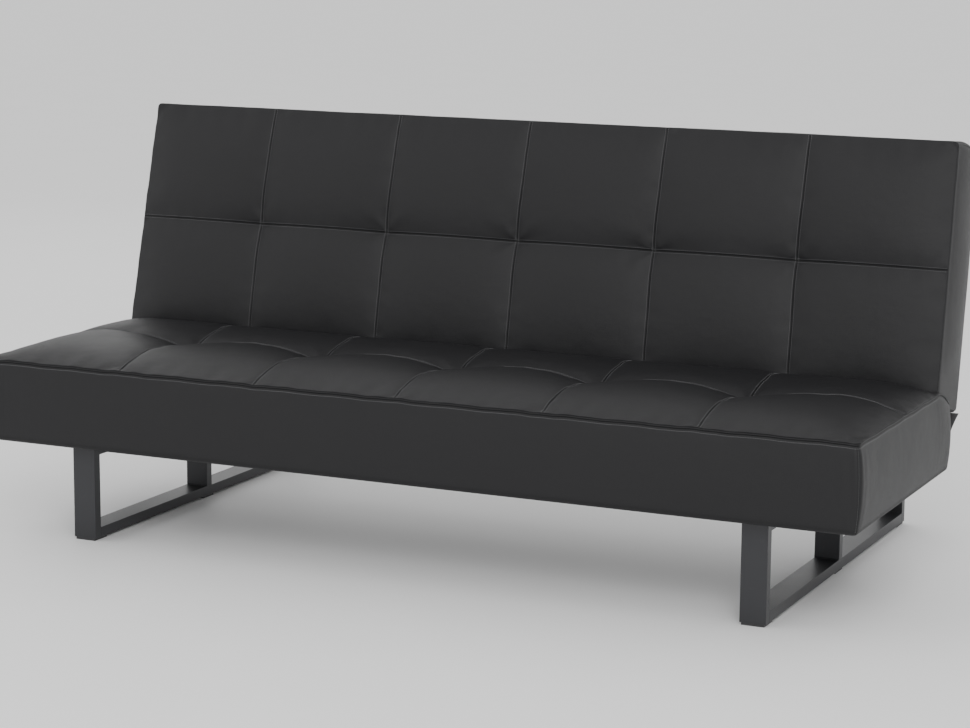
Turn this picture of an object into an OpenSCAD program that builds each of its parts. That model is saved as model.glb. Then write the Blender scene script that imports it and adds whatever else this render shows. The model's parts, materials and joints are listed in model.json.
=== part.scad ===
// Click-clack sofa bed: a tufted seat pad on two steel sled legs, and a back pad that folds
// down on two ratchet hinges until both pads lie level as a bed.
// X runs along the sofa, Y from front to rear and Z up. The seat pad and the back pad are both
// laid out in the bed position, with Y measured from the front of the seat, and the back pad
// is then folded up about the hinge axis. Millimetres.

/* [Pads] */
// Length of the sofa, end to end
sofa_w = 1800; // [1500:10:2100]
// Depth of the seat pad
seat_d = 600; // [540:5:700]
// Height of the seat pad's top edge above the floor
seat_top = 362; // [330:2:420]
// Thickness of the seat pad at its edge
seat_t = 167; // [150:1:190]
// Length of the back pad, from its hinge end to its top edge
back_l = 510; // [440:5:620]
// Thickness of the back pad at its edge
back_t = 162; // [146:1:186]
// Gap between the two pads in the bed position
pad_gap = 6; // [4:1:12]
// Thickness of the cover material
cover_t = 1.5; // [1:0.1:2.5]
// Thickness of the foam that wraps the frame's outside
edge_foam_t = 10; // [6:1:16]
// Columns of sewn panels across each pad
tuft_columns = 6; // [3:1:8]

/* [Fold] */
// How far the sitting back leans from the vertical, in degrees
back_lean = 13.5; // [5:0.5:25]
// How far the back folds forward past sitting to free the ratchet, in degrees
unlock_fold = 10; // [0:1:14]
// Distance of the hinge axis below the top of the pads
pivot_depth = 70; // [60:1:80]
// Distance of the hinge axis in front of the seat pad's rear face
pivot_inset = 18; // [14:1:24]

/* [Frames] */
// Thickness of the wooden rails
rail_t = 24; // [18:1:30]
// Height of the wooden rails
rail_h = 70; // [60:1:76]
// Width of the wooden batten above each leg
batten_w = 70; // [60:1:100]
// Height of the battens and cross rails
batten_h = 46; // [30:1:52]
// Thickness of the spring wire
wire_t = 3.6; // [2.8:0.1:4.5]
// Width of one sinuous spring over its loops
spring_w = 52; // [40:2:70]
// Distance between two crossings of a sinuous spring
spring_pitch = 24; // [20:1:32]

/* [Legs] */
// Width of the flat leg tube
tube_w = 50; // [40:1:60]
// Thickness of the flat leg tube
tube_t = 20; // [15:1:25]
// Wall of the leg tube
tube_wall = 1.5; // [1:0.1:3]
// Distance of the legs' centre line from the ends of the sofa
leg_inset = 195; // [195:5:400]
// Distance of the legs' front face behind the front of the seat
leg_front = 45; // [20:5:120]
// Length of a leg from its front face to its rear face
leg_l = 885; // [780:5:950]
// Height of the plastic glides under the legs
glide_h = 5; // [3:0.5:12]
// Height of the rubber pads that carry the back pad in the bed position
rest_pad_h = 4.5; // [2:0.5:4.5]

/* [Hinges] */
// Thickness of the hinge arms
arm_t = 4; // [3:0.5:6]
// Half width of an arm at its eye
arm_r = 17; // [14:1:19]
// Radius of the pivot bolt
pivot_r = 6; // [4:0.5:8]
// Thickness of the ratchet cam and pawl
cam_t = 5; // [3:0.5:7]
// Radius of the ratchet cam in the bed position
cam_r = 20; // [18:0.5:21]
// How far the cam lifts the pawl between sitting and bed
cam_lift = 3; // [2:0.5:4]
// Radius of the pawl pin
pin_r = 3; // [2:0.5:4]
// Radius of the wood screws that hold the arms
screw_r = 3; // [2:0.5:4]

/* [Hidden] */

$fn = 48;
SLIP = 0.5;         // gap between layers of soft material
FIT = 0.06;         // radial clearance of a shaft in its hole
PLATE_GAP = 0.4;    // gap between plates that turn on each other
SWEEP_GAP = 2.5;    // room round the parts that sweep past the seat pad
SHEET_T = 1;        // lining and dust cover cloth
FELT_T = 2;         // felt sheet over the springs
CUT = 1;            // how far a cut runs past the face it opens

// Pads, as [front y, rear y, bottom z, thickness of the side rails]
back_fold = 90 - back_lean;
frame_inset = cover_t + SLIP + edge_foam_t;
half_w = sofa_w / 2;
leg_x = half_w - leg_inset;
frame_half = half_w - frame_inset;
back_side_t = rail_t + arm_t + PLATE_GAP;
seat = [0, seat_d, seat_top - seat_t, rail_t];
back = [seat_d + pad_gap, seat_d + pad_gap + back_l, seat_top - back_t, back_side_t];
leg_top = seat[2] - SHEET_T;

// Hinge axis and the sweep of the back pad's hinge end round it
pivot_y = seat_d - pivot_inset;
pivot_z = seat_top - pivot_depth;
end_reach = pivot_inset + pad_gap;
full_fold = back_fold + unlock_fold;
notch_y = pivot_y + end_reach * cos(full_fold) - pivot_depth * sin(full_fold) - SWEEP_GAP;
notch_r = end_reach - SWEEP_GAP;

// The whole sofa's depth, so that the origin is under its middle
overall_d = max(leg_front + leg_l,
    pivot_y - pivot_depth * sin(back_fold) + (back_l + end_reach) * cos(back_fold)
    + back_t * sin(back_fold));

// Layers inside a pad, measured up from its bottom
frame_z = cover_t + SLIP;
spring_z = frame_z + rail_h + 1;
felt_z = spring_z + wire_t + 4;
foam_z = felt_z + FELT_T + SLIP;
spring_n = tuft_columns;

// Hinge plates, as distances from the middle of the sofa to each plate's inner face
seat_arm_x = frame_half - rail_t - arm_t;
back_arm_x = seat_arm_x - PLATE_GAP - arm_t;
cam_x = back_arm_x - PLATE_GAP / 2 - cam_t;
nut_t = 6;
nut_x = cam_x - 0.2 - nut_t;
pocket_in = nut_x - 10;
pocket_out = seat_arm_x + arm_t + 8;
eye = [pivot_y, pivot_z];
arm_grip_r = 20;
arm_grip_l = 140;
seat_grip = [pivot_y - 47, seat[2] + 37];
back_grip = [pivot_y + 58, back[2] + 40];
arm_screws_n = 3;
arm_screw_step = 55;

// Ratchet: the pawl's nose rides just clear of the cam, whose radius falls from bed to sitting
pawl_gap = 0.6;
nose_r = 2.5;
pawl_pin = [pivot_y + 24, pivot_z - 34];
nose_at = [pivot_y + cam_r - cam_lift + pawl_gap + nose_r, pivot_z];
relax_angle = 48;

tuft_xs = [for (i = [1:tuft_columns - 1]) (i / tuft_columns - 0.5) * 2 * half_w];
spring_xs = [for (i = [0:spring_n - 1]) ((i + 0.5) / spring_n - 0.5) * 2 * half_w];
tuft_hole_r = 2;

leather = [0.09, 0.09, 0.10];
pine = [0.80, 0.66, 0.45];
foam_colour = [0.93, 0.90, 0.78];
lining = [0.12, 0.12, 0.13];
black_steel = [0.14, 0.14, 0.15];
zinc = [0.68, 0.68, 0.66];

// ---- placing ------------------------------------------------------------------------------

// Moves what is drawn from the front of the seat to the origin under the sofa's middle
module placed() translate([0, -overall_d / 2, 0]) children();

// Folds the back pad up from the bed position, about the hinge axis
module folded() placed()
    translate([0, pivot_y, pivot_z]) rotate([back_fold, 0, 0]) translate([0, -pivot_y, -pivot_z])
        children();

// Extrudes a profile drawn as (y, z) along X
module along_x(x0, x1) translate([x0, 0, 0]) rotate([90, 0, 90]) linear_extrude(x1 - x0) children();

module block(lo, hi) translate(lo) cube(hi - lo);

module both_sides() {
    children();
    mirror([1, 0, 0]) children();
}

// One side of the sofa: -1 is left and 1 is right, as seen by someone facing its front
module on_side(s) if (s > 0) children(); else mirror([1, 0, 0]) children();

// Flat bar with round ends between two points
module bar(a, b, r) {
    d = b - a;
    translate(a) circle(r);
    translate(b) circle(r);
    translate(a) rotate(atan2(d.y, d.x)) translate([0, -r]) square([norm(d), 2 * r]);
}

// ---- shared pad pieces, drawn in the bed position ------------------------------------------

// Side view of the seat pad, shrunk by i: its rear top edge is cut back where the back sweeps
module seat_profile(i = 0) {
    translate([i, seat[2] + i]) square([notch_y - 2 * i, seat_t - 2 * i]);
    translate([i, seat[2] + i]) square([seat_d - 2 * i, pivot_z - seat[2] - i]);
    translate([i, seat[2] + i]) square([pivot_y - i, pivot_z - seat[2] + notch_r - 2 * i]);
    intersection() {
        translate(eye) circle(notch_r - i);
        translate([i, seat[2] + i]) square([seat_d - 2 * i, seat_t]);
    }
}

module back_profile(i = 0) translate([back[0] + i, back[2] + i]) square([back_l - 2 * i, back_t - 2 * i]);

// Room for the hinges: slots through the rear of the seat pad and the hinge end of the back pad
module seat_pockets() both_sides()
    block([pocket_in, pivot_y - 42, seat[2] + 27], [pocket_out, seat_d + CUT, seat_top]);

module back_pockets() both_sides()
    block([pocket_in, back[0] - CUT, back[2] + 12], [pocket_out, back[0] + 80, seat_top - 30]);

// Cover of one pad: a shell, open underneath but for a hem
module pad_cover(pad, bottom) {
    hem = 30;
    difference() {
        along_x(-half_w, half_w) children(0);
        along_x(-half_w + cover_t, half_w - cover_t) children(1);
        block([-half_w + hem, pad[0] + hem, bottom - CUT], [half_w - hem, pad[1] - hem, bottom + cover_t + CUT]);
    }
}

module pad_edge_foam(pad) {
    out = cover_t + SLIP;
    difference() {
        block([-half_w + out, pad[0] + out, pad[2] + frame_z], [half_w - out, pad[1] - out, pad[2] + felt_z - SLIP]);
        block([-frame_half, pad[0] + frame_inset, pad[2]], [frame_half, pad[1] - frame_inset, pad[2] + felt_z]);
    }
}

module pad_felt(pad) difference() {
    block([-half_w + 3, pad[0] + 3, pad[2] + felt_z], [half_w - 3, pad[1] - 3, pad[2] + felt_z + FELT_T]);
    tuft_holes(pad);
}

// Holes for the ties that pull the cover in where the seams cross
module tuft_holes(pad) for (x = tuft_xs)
    translate([x, (pad[0] + pad[1]) / 2, pad[2] + frame_z]) cylinder(r = tuft_hole_r, h = seat_top);

module pad_tuft_ties(pad) {
    washer_r = 14;
    washer_h = 2;
    for (x = tuft_xs) translate([x, (pad[0] + pad[1]) / 2, 0]) {
        translate([0, 0, pad[2] + felt_z - SLIP - washer_h]) cylinder(r = washer_r, h = washer_h);
        translate([0, 0, pad[2] + felt_z - 1]) cylinder(r = tuft_hole_r - 0.6, h = seat_top - pad[2] - felt_z - cover_t);
    }
}

// Rail across the pad at distance y, between the side rails
module end_rail(pad, y) block([-frame_half + pad[3], y, pad[2] + frame_z], [frame_half - pad[3], y + rail_t, pad[2] + frame_z + rail_h]);

// Right-hand side rail, with pilot holes for the hinge arm's screws
module side_rail(pad, grip, step) difference() {
    block([frame_half - pad[3], pad[0] + frame_inset, pad[2] + frame_z],
          [frame_half, pad[1] - frame_inset, pad[2] + frame_z + rail_h]);
    arm_screw_shanks(grip, step, frame_half - pad[3] - CUT, screw_depth + CUT, screw_r + 0.1);
}

module corner_blocks(pad, y, way) {
    leg = 55;
    both_sides() translate([frame_half - pad[3], y, pad[2] + frame_z])
        linear_extrude(batten_h) polygon([[0, 0], [-leg, 0], [0, way * leg]]);
}

// ---- springs ----------------------------------------------------------------------------------

// Centre line of a sinuous spring: n crossings, joined by half circles at alternate sides
function spring_line(n, half, step) = [for (k = [0:n - 1]) let (s = k % 2 == 0 ? 1 : -1)
    each concat([[-s * half, k * step], [s * half, k * step]],
        k == n - 1 ? [] : [for (a = [-60:30:60]) [s * (half + step / 2 * cos(a)), (k + 0.5) * step + step / 2 * sin(a)]])];

function unit(v) = v / norm(v);
function side_way(p, i) = let (
    a = p[max(i - 1, 0)], b = p[min(i + 1, len(p) - 1)], d = unit(b - a)) [-d.y, d.x];

// Flat ribbon of width w that follows a line of points
module ribbon(p, w) polygon(concat(
    [for (i = [0:len(p) - 1]) p[i] + side_way(p, i) * w / 2],
    [for (i = [len(p) - 1:-1:0]) p[i] - side_way(p, i) * w / 2]));

function crossings(pad) = floor((pad[1] - pad[0] - 2 * frame_inset - rail_t) / spring_pitch) + 1;
function spring_start(pad) = (pad[0] + pad[1] - (crossings(pad) - 1) * spring_pitch) / 2;

module pad_springs(pad) for (x = spring_xs)
    translate([x, spring_start(pad), pad[2] + spring_z])
        linear_extrude(wire_t) ribbon(spring_line(crossings(pad), (spring_w - spring_pitch) / 2, spring_pitch), wire_t);

module pad_spring_clips(pad) {
    clip = [16, 14, wire_t + 3];
    slot = wire_t + 0.6;
    for (x = spring_xs, k = [0, crossings(pad) - 1])
        translate([x, spring_start(pad) + k * spring_pitch, pad[2] + frame_z + rail_h]) difference() {
            translate([-clip.x / 2, -clip.y / 2, 0]) cube(clip);
            translate([-clip.x, -slot / 2, -CUT]) cube([2 * clip.x, slot, 1 + wire_t + 0.3 + CUT]);
        }
}

// ---- seat pad ---------------------------------------------------------------------------------

module seat_cover() color(leather) placed() difference() {
    pad_cover(seat, seat[2]) {
        seat_profile();
        seat_profile(cover_t);
    }
    seat_pockets();
}

module seat_foam() color(foam_colour) placed() difference() {
    intersection() {
        along_x(-half_w + cover_t + SLIP, half_w - cover_t - SLIP) seat_profile(cover_t + SLIP);
        block([-half_w, 0, seat[2] + foam_z], [half_w, seat_d, seat_top]);
    }
    seat_pockets();
    tuft_holes(seat);
}

// Soft rear edge of the seat, squeezed into the crease by the raised back
module seat_rear_roll() color(leather) placed() {
    clear = 1.5;
    rise = [sin(back_lean), cos(back_lean)];
    run = [cos(back_lean), -sin(back_lean)];
    corner = eye - (pivot_depth + clear) * run + (end_reach - clear) * rise;
    top_s = (seat_top - 1 - corner.y) / rise.y;
    outline = [
        [notch_y + SLIP, seat_top - 1], corner + top_s * rise, corner, corner + 105 * run,
        [seat_d + 17, pivot_z + 4], [seat_d + 1, pivot_z - 6], [seat_d + SLIP, pivot_z],
        [pivot_y, pivot_z], [notch_y + SLIP, pivot_z]
    ];
    for (span = [[-half_w + CUT, -pocket_out - CUT], [-pocket_in + CUT, pocket_in - CUT], [pocket_out + CUT, half_w - CUT]])
        difference() {
            along_x(span[0], span[1]) polygon(outline);
            along_x(span[0] - CUT, span[1] + CUT) {
                translate(eye) circle(notch_r + SLIP);
                translate([0, seat[2]]) square([pivot_y, pivot_z + notch_r + SLIP - seat[2]]);
                translate([0, seat[2]]) square([seat_d + SLIP, pivot_z - seat[2] + CUT]);
            }
        }
}

module seat_edge_foam() color(foam_colour) placed() difference() {
    pad_edge_foam(seat);
    seat_pockets();
}

module seat_spring_felt() color("dimgray") placed() difference() {
    pad_felt(seat);
    seat_pockets();
}

module seat_springs() color(zinc) placed() pad_springs(seat);
module seat_spring_clips() color("white") placed() pad_spring_clips(seat);
module seat_front_rail() color(pine) placed() end_rail(seat, frame_inset);

module seat_rear_rail() color(pine) placed() difference() {
    end_rail(seat, seat_d - frame_inset - rail_t);
    seat_pockets();
}

module seat_left_rail() color(pine) placed() mirror([1, 0, 0]) side_rail(seat, seat_grip, -arm_screw_step);
module seat_right_rail() color(pine) placed() side_rail(seat, seat_grip, -arm_screw_step);

// A batten above each leg, drilled for its bolts, and a rail in the middle
module seat_cross_rails() color(pine) placed() difference() {
    for (x = [-leg_x, 0, leg_x]) {
        w = x == 0 ? 40 : batten_w;
        block([x - w / 2, frame_inset + rail_t, seat[2]], [x + w / 2, seat_d - frame_inset - rail_t, seat[2] + batten_h]);
    }
    at_leg_bolts() {
        cylinder(r = bolt_r + 0.4, h = batten_h + CUT);
        translate([0, 0, batten_h - t_nut_l]) cylinder(r = t_nut_r + 0.1, h = t_nut_l + CUT);
        translate([0, 0, batten_h - t_flange_t]) cylinder(r = t_flange_r + 0.3, h = 2 * t_flange_t);
    }
}

module seat_corner_blocks() color(pine) placed() corner_blocks(seat, frame_inset + rail_t, 1);

module seat_dust_cover() color(lining) placed() difference() {
    block([-half_w + 14, 14, leg_top], [half_w - 14, seat_d - 14, seat[2]]);
    at_leg_bolts() translate([0, 0, -2 * SHEET_T]) cylinder(r = bolt_r + 1, h = 4 * SHEET_T);
}

module seat_tuft_ties() color("ivory") placed() pad_tuft_ties(seat);

// ---- legs ---------------------------------------------------------------------------------------

bolt_r = 4;
bolt_head_r = 7.5;
bolt_head_h = 4.5;
washer_r = 9;
washer_t = 1.6;
t_nut_r = 5.5;
t_nut_l = 12;
t_flange_r = 11;
t_flange_t = 1.5;
leg_bolt_ys = [leg_front + 60, seat_d / 2, seat_d - 90];
upright_ys = [leg_front, leg_front + (leg_l - tube_t) / 2, leg_front + leg_l - tube_t];

// Places its children at the underside of the seat frame, at each of the leg bolts
module at_leg_bolts() for (x = [-leg_x, leg_x], y = leg_bolt_ys) translate([x, y, seat[2]]) children();

// Square-cornered tube with an open bore; the bore runs along axis 1 (Y) or 2 (Z)
module tube(lo, hi, axis) difference() {
    block(lo, hi);
    grow = [for (i = [0:2]) i == axis ? -CUT : tube_wall];
    block(lo + grow, hi - grow);
}

// Uprights of one sled leg; the middle one stands between the runner and the top rail
module leg_uprights() placed() for (i = [0:2]) {
    y = upright_ys[i];
    inset = i == 1 ? tube_t : 0;
    tube([leg_x - tube_w / 2, y, glide_h + inset], [leg_x + tube_w / 2, y + tube_t, leg_top - inset], 2);
}

// Runner and top rail of one sled leg, drilled for its bolts
module leg_rails() placed() difference() {
    for (z = [glide_h, leg_top - tube_t])
        tube([leg_x - tube_w / 2, upright_ys[0] + tube_t, z], [leg_x + tube_w / 2, upright_ys[2], z + tube_t], 1);
    at_leg_bolts() translate([0, 0, -2 * tube_t]) cylinder(r = bolt_r + 0.5, h = 3 * tube_t);
}

module left_leg_uprights() color(black_steel) mirror([1, 0, 0]) leg_uprights();
module right_leg_uprights() color(black_steel) leg_uprights();
module left_leg_rails() color(black_steel) mirror([1, 0, 0]) leg_rails();
module right_leg_rails() color(black_steel) leg_rails();

// Plastic glide under each upright, with a plug that sits in the tube of the end ones
module leg_glides() color("black") placed() {
    glide = [tube_w - 6, 44];
    play = 0.3;
    for (x = [-leg_x, leg_x], i = [0:2]) {
        first = i == 0 ? upright_ys[0] + 1 : i == 1 ? upright_ys[1] + tube_t / 2 - glide.y / 2 : upright_ys[2] + tube_t - glide.y - 1;
        translate([x - glide.x / 2, first, 0]) cube([glide.x, glide.y, glide_h]);
        if (i != 1)
            block([x - tube_w / 2 + tube_wall + play, upright_ys[i] + tube_wall + play, glide_h],
                  [x + tube_w / 2 - tube_wall - play, upright_ys[i] + tube_t - tube_wall - play, glide_h + 15]);
    }
}

module leg_bolts() color(zinc) placed() at_leg_bolts() translate([0, 0, -SHEET_T - tube_t - washer_t]) {
    cylinder(r = bolt_r, h = washer_t + tube_t + SHEET_T + batten_h - 4);
    difference() {
        translate([0, 0, -bolt_head_h]) cylinder(r = bolt_head_r, h = bolt_head_h);
        translate([0, 0, -bolt_head_h - CUT]) cylinder(r = 3, h = 3 + CUT, $fn = 6);
    }
}

module leg_washers() color(zinc) placed() at_leg_bolts() translate([0, 0, -SHEET_T - tube_t - washer_t]) difference() {
    cylinder(r = washer_r, h = washer_t);
    translate([0, 0, -CUT]) cylinder(r = bolt_r + 0.2, h = washer_t + 2 * CUT);
}

module leg_t_nuts() color(zinc) placed() at_leg_bolts() translate([0, 0, batten_h - t_nut_l]) difference() {
    union() {
        cylinder(r = t_nut_r, h = t_nut_l);
        translate([0, 0, t_nut_l - t_flange_t]) cylinder(r = t_flange_r, h = t_flange_t);
    }
    translate([0, 0, -CUT]) cylinder(r = bolt_r + FIT, h = t_nut_l + 2 * CUT);
}

// Rubber pads on the rear of the legs, under the back pad in the bed position
module bed_rest_pads() color("black") placed() {
    pad = [36, 60];
    for (x = [-leg_x, leg_x], y = [upright_ys[1] + 190, upright_ys[2] - 70])
        translate([x - pad.x / 2, y, leg_top]) cube([pad.x, pad.y, rest_pad_h]);
}

// ---- hinges -----------------------------------------------------------------------------------

screw_depth = 18;
screw_head_r = 6.5;
screw_head_h = 4;

// Screws along an arm's grip, from x0 and l long
module arm_screw_shanks(grip, step, x0, l, r) for (i = [0:arm_screws_n - 1])
    translate([x0, grip.x + i * step + sign(step) * 10, grip.y]) rotate([0, 90, 0]) cylinder(r = r, h = l);

// Steel arm on the right-hand side: an eye on the hinge axis and a grip along a side rail
module hinge_arm(x, grip, step) {
    end = grip + [sign(step) * arm_grip_l, 0];
    difference() {
        along_x(x, x + arm_t) {
            bar(eye, grip, arm_r);
            bar(grip, end, arm_grip_r);
        }
        translate([x - CUT, pivot_y, pivot_z]) rotate([0, 90, 0]) cylinder(r = pivot_r + FIT, h = arm_t + 2 * CUT);
        arm_screw_shanks(grip, step, x - CUT, arm_t + 2 * CUT, screw_r + 0.3);
    }
}

module arm_screws(x, grip, step) {
    arm_screw_shanks(grip, step, x, arm_t + screw_depth - 1, screw_r);
    for (i = [0:arm_screws_n - 1])
        translate([x - screw_head_h, grip.x + i * step + sign(step) * 10, grip.y])
            rotate([0, 90, 0]) cylinder(r = screw_head_r, h = screw_head_h, $fn = 6);
}

module left_hinge_seat_arm() color(zinc) placed() on_side(-1) hinge_arm(seat_arm_x, seat_grip, -arm_screw_step);
module right_hinge_seat_arm() color(zinc) placed() on_side(1) hinge_arm(seat_arm_x, seat_grip, -arm_screw_step);
module seat_arm_screws() color(zinc) placed() both_sides() arm_screws(seat_arm_x, seat_grip, -arm_screw_step);

// Back arm, with a hole for the pawl's pin
module back_arm() difference() {
    hinge_arm(back_arm_x, back_grip, arm_screw_step);
    translate([back_arm_x - CUT, pawl_pin.x, pawl_pin.y]) rotate([0, 90, 0]) cylinder(r = pin_r + 0.02, h = arm_t + 2 * CUT);
}

module left_hinge_back_arm() color(zinc) folded() on_side(-1) back_arm();
module right_hinge_back_arm() color(zinc) folded() on_side(1) back_arm();
module back_arm_screws() color(zinc) folded() both_sides() arm_screws(back_arm_x, back_grip, arm_screw_step);

// Bolt on the hinge axis: hexagon head outside the seat arm, nut inside the cam
module hinge_pivot_bolts() color(zinc) placed() both_sides() translate([0, pivot_y, pivot_z]) rotate([0, 90, 0]) {
    head_x = seat_arm_x + arm_t;
    translate([0, 0, nut_x - 2]) cylinder(r = pivot_r, h = head_x - nut_x + 2);
    translate([0, 0, head_x]) cylinder(r = 10.5, h = 5, $fn = 6);
}

module hinge_pivot_nuts() color(zinc) placed() both_sides() translate([nut_x, pivot_y, pivot_z]) rotate([0, 90, 0]) difference() {
    cylinder(r = 10.5, h = nut_t, $fn = 6);
    translate([0, 0, -CUT]) cylinder(r = pivot_r + FIT, h = nut_t + 2 * CUT);
}

// Ratchet cam, fixed to the seat: its edge falls in a spiral from the bed stop to past sitting,
// with a notch where the pawl drops in at each of the three positions
function cam_edge(a) = cam_r - cam_lift * a / back_fold;
function cam_notch(a) = min([for (stop = [0, relax_angle, back_fold]) abs(a - stop)]) < 5 ? 3 : 0;

module hinge_cam() difference() {
    along_x(cam_x, cam_x + cam_t) polygon([
        for (a = [-14:2:full_fold + 12]) eye + (cam_edge(a) - cam_notch(a)) * [cos(a), sin(a)],
        for (a = [full_fold + 40:20:326]) eye + (cam_r - 2 * cam_lift) * [cos(a), sin(a)]
    ]);
    translate([cam_x - CUT, pivot_y, pivot_z]) rotate([0, 90, 0]) cylinder(r = pivot_r + FIT, h = cam_t + 2 * CUT);
}

module left_hinge_cam() color("gray") placed() on_side(-1) hinge_cam();
module right_hinge_cam() color("gray") placed() on_side(1) hinge_cam();

// Pawl on the back arm: a lever whose nose points at the cam
module hinge_pawl() {
    heel = nose_at + [5, -2];
    difference() {
        along_x(cam_x, cam_x + cam_t) {
            translate(pawl_pin) circle(7);
            bar(pawl_pin, heel, 4.5);
            bar(heel, nose_at, nose_r);
        }
        translate([cam_x - CUT, pawl_pin.x, pawl_pin.y]) rotate([0, 90, 0]) cylinder(r = pin_r + FIT, h = cam_t + 2 * CUT);
    }
}

module left_hinge_pawl() color("gray") folded() on_side(-1) hinge_pawl();
module right_hinge_pawl() color("gray") folded() on_side(1) hinge_pawl();

module pawl_pins() color(zinc) folded() both_sides()
    translate([cam_x - 7, pawl_pin.x, pawl_pin.y]) rotate([0, 90, 0]) cylinder(r = pin_r, h = back_arm_x + arm_t - cam_x + 7);

// Torsion spring round the pawl's pin: a close coil with a straight leg at each end
coil_r = pin_r + 1.6;
coil_wire_r = 0.5;
coil_turns = 4;
coil_step = 18;
coil_sides = 6;

function coil_point(a) = [coil_r * cos(a), coil_r * sin(a), 1.15 * a / 360];
function coil_line() = concat(
    [coil_point(0) + [0, -9, 0]],
    [for (a = [0:coil_step:360 * coil_turns]) coil_point(a)],
    [coil_point(360 * coil_turns) + [0, 9, 0]]);

function ring_at(p, i) = let (
    d = unit(p[min(i + 1, len(p) - 1)] - p[max(i - 1, 0)]),
    n = unit(cross(d, [0, 0, 1])), b = cross(n, d))
    [for (k = [0:coil_sides - 1]) p[i] + coil_wire_r * (cos(k * 360 / coil_sides) * n + sin(k * 360 / coil_sides) * b)];

module swept_wire(p) {
    n = len(p);
    m = coil_sides;
    polyhedron([for (i = [0:n - 1]) each ring_at(p, i)], concat(
        [[for (k = [0:m - 1]) k]],
        [[for (k = [m - 1:-1:0]) (n - 1) * m + k]],
        [for (i = [0:n - 2], k = [0:m - 1]) [i * m + k, (i + 1) * m + k, (i + 1) * m + (k + 1) % m, i * m + (k + 1) % m]]));
}

module pawl_spring() translate([cam_x - 5.6, pawl_pin.x, pawl_pin.y]) rotate([0, 90, 0]) swept_wire(coil_line());

module left_pawl_spring() color(zinc) folded() on_side(-1) pawl_spring();
module right_pawl_spring() color(zinc) folded() on_side(1) pawl_spring();

// Lining cloth that closes the gap behind the hinges, from the seat's rear to the back's foot
module hinge_flap() color(lining) placed() {
    foot = [seat_d + 1, pivot_z - 42];
    lean = [sin(back_lean), cos(back_lean)];
    run = [cos(back_lean), -sin(back_lean)];
    hem = eye + (back_t - pivot_depth - 4) * run + (end_reach - 1.5) * lean;
    along_x(-half_w + 12, half_w - 12) polygon([foot, hem, hem + [0, -SHEET_T], foot + [0, -SHEET_T]]);
}

// ---- back pad ---------------------------------------------------------------------------------

module back_cover() color(leather) folded() difference() {
    pad_cover(back, back[2]) {
        back_profile();
        back_profile(cover_t);
    }
    back_pockets();
}

module back_foam() color(foam_colour) folded() difference() {
    intersection() {
        along_x(-half_w + cover_t + SLIP, half_w - cover_t - SLIP) back_profile(cover_t + SLIP);
        block([-half_w, back[0], back[2] + foam_z], [half_w, back[1], seat_top]);
    }
    back_pockets();
    tuft_holes(back);
}

module back_edge_foam() color(foam_colour) folded() difference() {
    pad_edge_foam(back);
    back_pockets();
}

module back_spring_felt() color("dimgray") folded() difference() {
    pad_felt(back);
    back_pockets();
}

module back_springs() color(zinc) folded() pad_springs(back);
module back_spring_clips() color("white") folded() pad_spring_clips(back);
module back_top_rail() color(pine) folded() end_rail(back, back[1] - frame_inset - rail_t);

module back_bottom_rail() color(pine) folded() difference() {
    end_rail(back, back[0] + frame_inset);
    back_pockets();
}

module back_left_rail() color(pine) folded() mirror([1, 0, 0]) side_rail(back, back_grip, arm_screw_step);
module back_right_rail() color(pine) folded() side_rail(back, back_grip, arm_screw_step);

module back_cross_rails() color(pine) folded() for (x = [-half_w / 3, half_w / 3])
    block([x - 20, back[0] + frame_inset + rail_t, back[2] + frame_z], [x + 20, back[1] - frame_inset - rail_t, back[2] + frame_z + batten_h]);

module back_corner_blocks() color(pine) folded() corner_blocks(back, back[1] - frame_inset - rail_t, -1);

module back_rear_panel() color(lining) folded()
    block([-half_w + 10, back[0] + 6, back[2] - SHEET_T], [half_w - 10, back[1] - 6, back[2]]);

module back_tuft_ties() color("ivory") folded() pad_tuft_ties(back);

// ---- nodes --------------------------------------------------------------------------------------

seat_cover();
seat_foam();
seat_rear_roll();
seat_edge_foam();
seat_spring_felt();
seat_springs();
seat_spring_clips();
seat_front_rail();
seat_rear_rail();
seat_left_rail();
seat_right_rail();
seat_cross_rails();
seat_corner_blocks();
seat_dust_cover();
seat_tuft_ties();
left_leg_uprights();
right_leg_uprights();
left_leg_rails();
right_leg_rails();
leg_glides();
leg_bolts();
leg_washers();
leg_t_nuts();
bed_rest_pads();
hinge_flap();
left_hinge_seat_arm();
right_hinge_seat_arm();
left_hinge_cam();
right_hinge_cam();
hinge_pivot_bolts();
hinge_pivot_nuts();
seat_arm_screws();
back_cover();
back_foam();
back_edge_foam();
back_spring_felt();
back_springs();
back_spring_clips();
back_top_rail();
back_bottom_rail();
back_left_rail();
back_right_rail();
back_cross_rails();
back_corner_blocks();
back_rear_panel();
back_tuft_ties();
left_hinge_back_arm();
right_hinge_back_arm();
back_arm_screws();
pawl_pins();
left_hinge_pawl();
right_hinge_pawl();
left_pawl_spring();
right_pawl_spring();
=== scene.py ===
"""Click-clack sofa bed: tufted black pads on steel sled legs, finished over its frame."""

import json
import math

import bmesh
import bpy
import numpy as np
from mathutils import Matrix, Vector, noise


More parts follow.
